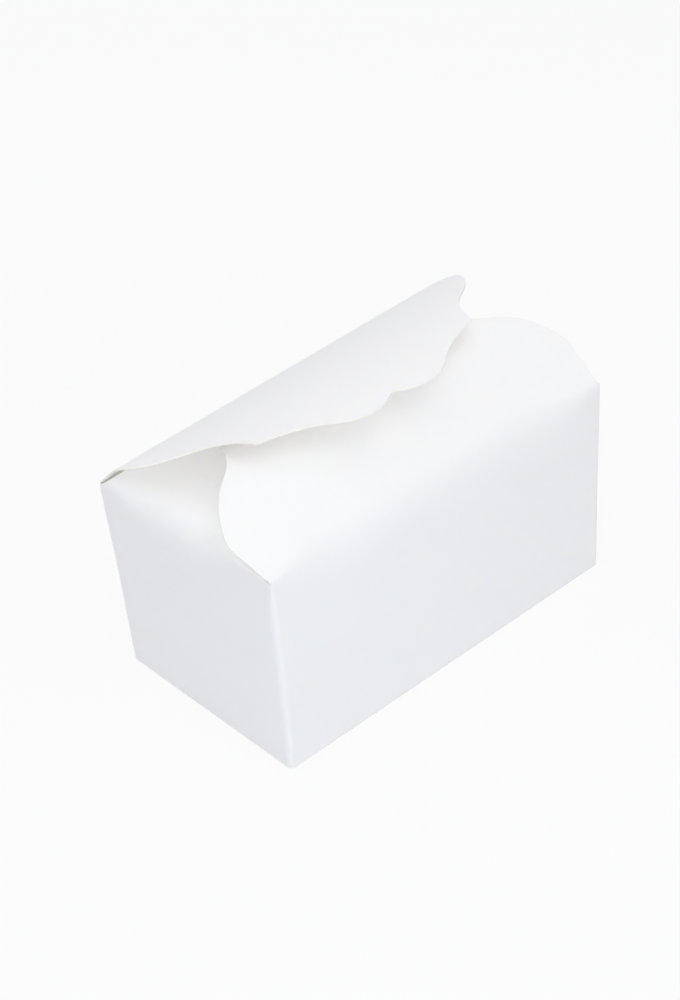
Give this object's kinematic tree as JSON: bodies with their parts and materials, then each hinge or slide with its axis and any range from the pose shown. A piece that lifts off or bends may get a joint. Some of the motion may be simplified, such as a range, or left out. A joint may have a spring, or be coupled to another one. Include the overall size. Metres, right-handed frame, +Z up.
{
  "type": "candy box",
  "caption": "Folding candy box of white card, with a locked base, end flaps folded in and two arched, scalloped long flaps that close over them.",
  "frame": {"origin": "middle of the base's underside, on the surface the box stands on", "axes": "+X along the front wall, to the right, +Y from the front wall to the back wall, +Z up"},
  "size_m": [0.1455, 0.0848, 0.103],
  "materials": {
    "white_card": "smooth white coated card with a slight sheen, cream at the cut edges"
  },
  "bodies": {
    "carton": {"folded_carton": "white_card"},
    "flap": {"closing_flap": "white_card"}
  },
  "joints": [
    {"name": "closing_flap_crease", "type": "hinge", "parent": "carton", "child": "flap", "pos_m": [0, 0.04217, 0.0752], "axis": [-1, 0, 0], "range_deg": [-2.5, 150]}
  ]
}
